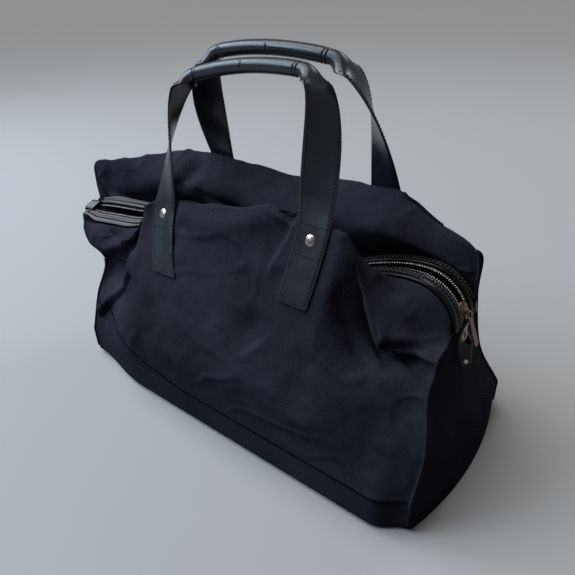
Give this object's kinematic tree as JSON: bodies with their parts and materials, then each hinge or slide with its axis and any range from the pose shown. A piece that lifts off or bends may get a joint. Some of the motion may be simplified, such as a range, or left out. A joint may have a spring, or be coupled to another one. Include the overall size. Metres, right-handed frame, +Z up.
{
  "type": "weekender bag",
  "caption": "Soft canvas weekender bag on a stiffened base, with leather strap handles that swing down, a zipped top and riveted leather trims.",
  "frame": {"origin": "middle of the base's underside", "axes": "+X along the length towards the zip's closed end, -Y to the front, +Z up"},
  "size_m": [0.6078, 0.2651, 0.4245],
  "materials": {
    "canvas": "plain woven canvas, matte, navy black",
    "leather": "smooth black leather with a soft sheen",
    "nickel": "polished nickel",
    "zip_tape": "black woven tape with its teeth",
    "board": "stiff fibre board",
    "core": "foam cord"
  },
  "bodies": {
    "bag": {"front_panel": "canvas", "back_panel": "canvas", "left_gusset": "canvas", "right_gusset": "canvas", "base_panel": "canvas", "front_left_strap_end": "leather", "front_right_strap_end": "leather", "back_left_strap_end": "leather", "back_right_strap_end": "leather", "left_zip_tab": "leather", "right_zip_tab": "leather", "front_zip_trim": "leather", "back_zip_trim": "leather", "front_left_strap_end_rivet": "nickel", "front_left_strap_end_rivet_cap": "nickel", "front_right_strap_end_rivet": "nickel", "front_right_strap_end_rivet_cap": "nickel", "back_left_strap_end_rivet": "nickel", "back_left_strap_end_rivet_cap": "nickel", "back_right_strap_end_rivet": "nickel", "back_right_strap_end_rivet_cap": "nickel", "left_zip_tab_rivet": "nickel", "left_zip_tab_rivet_cap": "nickel", "right_zip_tab_rivet": "nickel", "right_zip_tab_rivet_cap": "nickel", "front_zip_tape": "zip_tape", "back_zip_tape": "zip_tape", "base_board": "board"},
    "front_handle": {"front_handle_left_strap": "leather", "front_handle_right_strap": "leather", "front_grip": "leather", "front_grip_core": "core"},
    "back_handle": {"back_handle_left_strap": "leather", "back_handle_right_strap": "leather", "back_grip": "leather", "back_grip_core": "core"},
    "zip_slider": {"zip_slider": "nickel", "slider_bail": "nickel"},
    "zip_puller": {"zip_puller": "nickel"}
  },
  "joints": [
    {"name": "front_handle_swing", "type": "hinge", "parent": "bag", "child": "front_handle", "pos_m": [-0.00012, -0.06638, 0.26219], "axis": [0.9946, -0.0002, 0.1038], "range_deg": [0, 135]},
    {"name": "back_handle_swing", "type": "hinge", "parent": "bag", "child": "back_handle", "pos_m": [0, 0.04661, 0.28319], "axis": [-1, 0, 0], "range_deg": [0, 135]},
    {"name": "slider_travel", "type": "hinge", "parent": "bag", "child": "zip_slider", "pos_m": [0.19126, 0, 0.182], "axis": [0, -1, 0], "range_deg": [0, 54]},
    {"name": "puller_swing", "type": "hinge", "parent": "zip_slider", "child": "zip_puller", "pos_m": [0.23975, 0, 0.19682], "axis": [0, -1, 0], "range_deg": [0, 150]}
  ]
}
